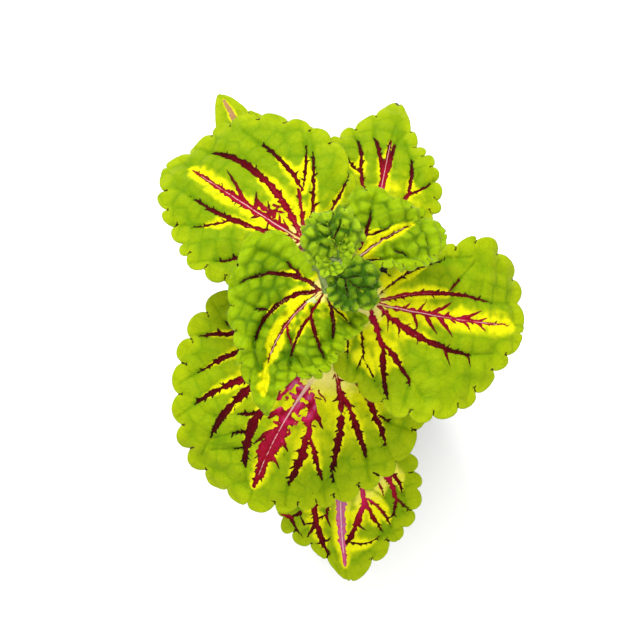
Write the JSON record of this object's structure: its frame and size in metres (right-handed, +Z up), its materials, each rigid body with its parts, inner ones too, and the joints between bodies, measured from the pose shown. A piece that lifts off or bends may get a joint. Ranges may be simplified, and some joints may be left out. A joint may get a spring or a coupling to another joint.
{
  "type": "coleus",
  "caption": "Young variegated coleus in a small round plastic nursery pot: square stem with opposite pairs of toothed, puckered leaves.",
  "frame": {"origin": "middle of the pot's flat underside, where it rests", "axes": "+Z up along the pot's axis; -Y is the side on which the largest leaf hangs"},
  "size_m": [0.1105, 0.1613, 0.1514],
  "materials": {
    "pot": "satin",
    "soil": "matte",
    "stem": "satin",
    "leaf": "satin",
    "young_leaf": "satin"
  },
  "bodies": {
    "root": {"pot": "pot", "soil": "soil", "stem": "stem", "leaf_1_front": "leaf", "leaf_1_back": "leaf", "leaf_2_front": "leaf", "leaf_2_back": "leaf", "leaf_3_left": "leaf", "leaf_3_right": "leaf", "leaf_4_front": "leaf", "leaf_4_right": "leaf", "leaf_5_left": "young_leaf", "leaf_5_right": "young_leaf"}
  },
  "joints": []
}
